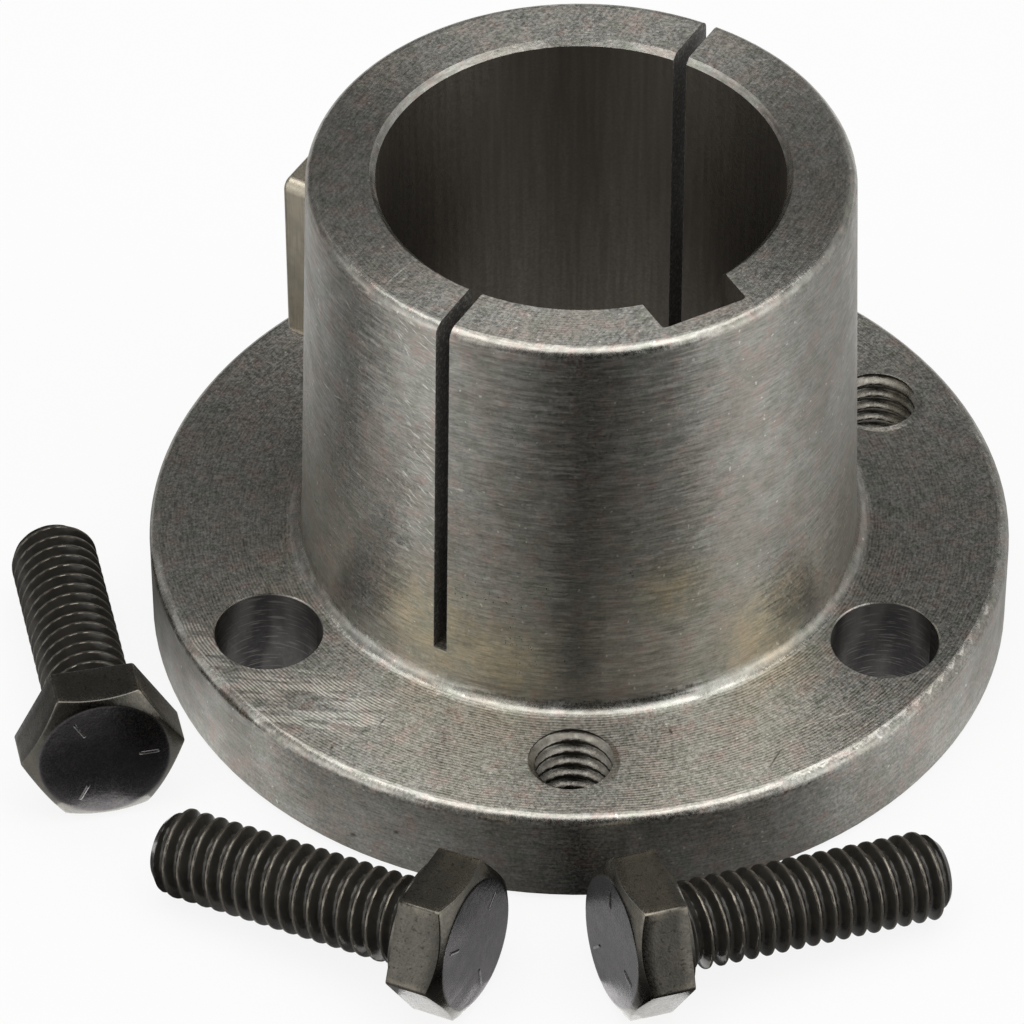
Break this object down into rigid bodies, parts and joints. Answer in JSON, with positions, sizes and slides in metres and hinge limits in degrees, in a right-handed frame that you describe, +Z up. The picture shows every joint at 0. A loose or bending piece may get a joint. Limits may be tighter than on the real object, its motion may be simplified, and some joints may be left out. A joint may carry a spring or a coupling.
{
  "type": "split taper bushing",
  "caption": "Flanged split taper bushing with a keyed shaft bore, a barrel key, flange bolt holes and loose cap screws.",
  "frame": {"origin": "on the bore's axis, in the flat outer face of the flange", "axes": "+Z up the bore towards the thin end of the barrel, -Y towards the bore's keyway, one tapped hole on +X"},
  "size_m": [0.0939, 0.0903, 0.0492],
  "materials": {
    "machined_steel": "turned, oiled",
    "key_steel": "cold drawn, faintly tan",
    "black_oxide": "black oxide, oiled"
  },
  "bodies": {
    "root": {"bushing_body": "machined_steel", "hub_key": "key_steel", "cap_screw_1": "black_oxide", "cap_screw_2": "black_oxide", "cap_screw_3": "black_oxide"}
  },
  "joints": []
}
